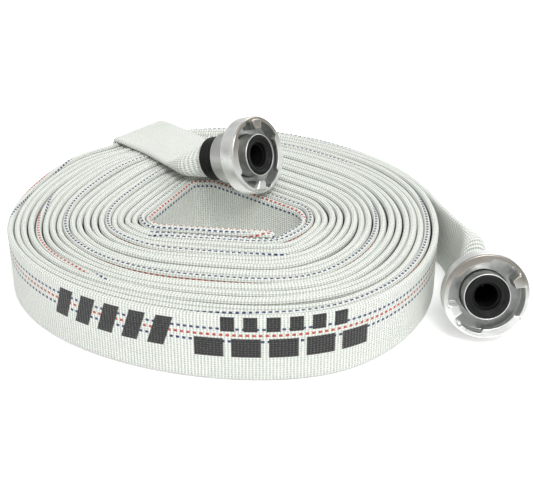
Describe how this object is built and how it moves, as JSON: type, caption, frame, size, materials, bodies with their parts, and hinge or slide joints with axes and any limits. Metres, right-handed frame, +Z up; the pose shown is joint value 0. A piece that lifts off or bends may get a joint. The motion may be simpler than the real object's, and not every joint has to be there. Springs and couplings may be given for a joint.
{
  "type": "rolled fire hose",
  "caption": "Flat woven fire hose, folded in half and rolled up, with a swivelling claw coupling on each free end.",
  "frame": {"origin": "on the floor under the middle of the object's bounding box", "axes": "+Z up, out of the rolled hose's top; -Y towards the front, where coupling B faces; +X to the side that end B leaves the roll on"},
  "size_m": [0.3439, 0.3057, 0.1023],
  "materials": {
    "jacket": "woven polyester, off-white with a green-grey cast",
    "rubber": "matt black",
    "cast": "die-cast, satin",
    "wire": "drawn wire"
  },
  "bodies": {
    "roll": {"hose_jacket": "jacket", "hose_lining": "rubber"},
    "hose_end_a": {"end_a_jacket": "jacket", "end_a_lining": "rubber", "coupling_a_tailpiece": "cast", "coupling_a_seal": "rubber", "coupling_a_snap_ring": "wire", "coupling_a_binding_wire": "wire", "coupling_a_sleeve": "rubber"},
    "lug_ring_a": {"coupling_a_lug_ring": "cast"},
    "hose_end_b": {"end_b_jacket": "jacket", "end_b_lining": "rubber", "coupling_b_tailpiece": "cast", "coupling_b_seal": "rubber", "coupling_b_snap_ring": "wire", "coupling_b_binding_wire": "wire", "coupling_b_sleeve": "rubber"},
    "lug_ring_b": {"coupling_b_lug_ring": "cast"}
  },
  "joints": [
    {"name": "end_a_flex", "type": "hinge", "parent": "roll", "child": "hose_end_a", "pos_m": [-0.10295, 0.13589, 0.048], "axis": [-0.7193, -0.6947, 0], "range_deg": [0, 75]},
    {"name": "end_b_flex", "type": "hinge", "parent": "roll", "child": "hose_end_b", "pos_m": [0.13041, -0.00511, 0.0225], "axis": [0, 0, 1], "range_deg": [-2, 30]},
    {"name": "lug_ring_a_swivel", "type": "hinge", "parent": "hose_end_a", "child": "lug_ring_a", "pos_m": [0.0007, 0.0123, 0.0764], "axis": [0.7549, -0.5769, 0.312], "continuous": true},
    {"name": "lug_ring_b_swivel", "type": "hinge", "parent": "hose_end_b", "child": "lug_ring_b", "pos_m": [0.1445, -0.1073, 0.0312], "axis": [0, -0.9564, 0.2921], "continuous": true}
  ]
}
